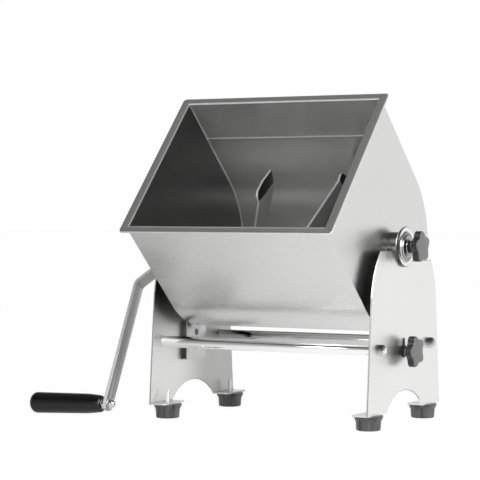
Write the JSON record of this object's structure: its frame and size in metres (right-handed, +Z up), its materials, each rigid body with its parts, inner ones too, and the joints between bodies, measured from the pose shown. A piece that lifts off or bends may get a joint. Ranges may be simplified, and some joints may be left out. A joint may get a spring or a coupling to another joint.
{
  "type": "meat mixer",
  "caption": "Hand-cranked meat mixer: tilting stainless trough with rounded bottom between two leg plates, bent paddles on a shaft, star knobs and rubber feet",
  "frame": {"origin": "middle of the bounding box, on the ground", "axes": "+X from the crank to the knob side along the pivot axis, +Y to the back, +Z up; the tank leans forward, towards -Y"},
  "size_m": [0.5552, 0.3316, 0.4498],
  "materials": {
    "plate_steel": "satin stainless sheet",
    "polished_steel": "polished stainless",
    "foot_rubber": "matt moulded rubber",
    "bearing_plastic": "plain plastic",
    "washer_black": "black",
    "tank_steel": "satin stainless sheet",
    "rim_steel": "satin stainless, folded",
    "turned_steel": "turned stainless",
    "paddle_steel": "satin stainless",
    "crank_steel": "satin stainless bar",
    "seal_rubber": "matt",
    "grip_plastic": "glossy black",
    "knob_plastic": "matt dark grey"
  },
  "bodies": {
    "frame": {"leg_plate_left": "plate_steel", "leg_plate_right": "plate_steel", "catch_bracket": "plate_steel", "tie_rod_front": "polished_steel", "tie_rod_rear": "polished_steel", "tie_rod_nuts": "polished_steel", "foot_studs": "polished_steel", "lock_boss": "polished_steel", "lock_tab_washer": "washer_black", "pivot_liner_left": "bearing_plastic", "pivot_liner_right": "bearing_plastic", "foot_front_left": "foot_rubber", "foot_front_right": "foot_rubber", "foot_rear_left": "foot_rubber", "foot_rear_right": "foot_rubber"},
    "tank": {"tank_wrap": "tank_steel", "tank_end_left": "tank_steel", "tank_end_right": "tank_steel", "rim_flange": "rim_steel", "trunnion_left": "turned_steel", "trunnion_right": "turned_steel", "hub_flange_left": "turned_steel", "hub_flange_right": "turned_steel", "bearing_bush": "bearing_plastic", "lock_ear": "tank_steel", "catch_ear": "tank_steel", "catch_stud": "polished_steel"},
    "shaft": {"mixing_shaft": "turned_steel", "paddle_1": "paddle_steel", "paddle_2": "paddle_steel", "paddle_3": "paddle_steel", "paddle_4": "paddle_steel", "drive_spindle": "turned_steel", "thrust_seal": "seal_rubber", "crank_arm": "crank_steel", "crank_nut": "polished_steel", "grip_bolt": "polished_steel", "grip_cap_nut": "polished_steel", "grip_jam_nut": "polished_steel"},
    "grip": {"grip": "grip_plastic"},
    "release_screw": {"release_screw": "polished_steel"},
    "release_knob": {"release_knob": "knob_plastic"},
    "lock_screw": {"lock_screw": "polished_steel"},
    "lock_knob": {"lock_knob": "knob_plastic"}
  },
  "joints": [
    {"name": "tank_tilt", "type": "hinge", "parent": "frame", "child": "tank", "pos_m": [0.08172, 0.04368, 0.2423], "axis": [1, 0, 0], "range_deg": [-47, 43]},
    {"name": "shaft_turn", "type": "hinge", "parent": "frame", "child": "shaft", "pos_m": [0.08172, 0.04368, 0.2423], "axis": [1, 0, 0], "continuous": true},
    {"name": "grip_spin", "type": "hinge", "parent": "shaft", "child": "grip", "pos_m": [-0.15068, -0.08149, 0.01899], "axis": [-0.9994, -0.0171, -0.0304], "continuous": true},
    {"name": "release_travel", "type": "slide", "parent": "tank", "child": "release_screw", "axis": [1, 0, 0], "range_m": [0, 0.008]},
    {"name": "release_turn", "type": "hinge", "parent": "release_screw", "child": "release_knob", "pos_m": [0.08172, 0.04368, 0.2423], "axis": [1, 0, 0], "range_deg": [0, 1645.72]},
    {"name": "lock_travel", "type": "slide", "parent": "frame", "child": "lock_screw", "axis": [-1, 0, 0], "range_m": [0, 0.005]},
    {"name": "lock_turn", "type": "hinge", "parent": "lock_screw", "child": "lock_knob", "pos_m": [0.08172, 0.04368, 0.1003], "axis": [-1, 0, 0], "range_deg": [0, 1200.01]}
  ],
  "couplings": [
    {"joint": "release_turn", "follows": "release_travel", "rad_per_m": 3590.4},
    {"joint": "lock_turn", "follows": "lock_travel", "rad_per_m": 4188.8}
  ]
}
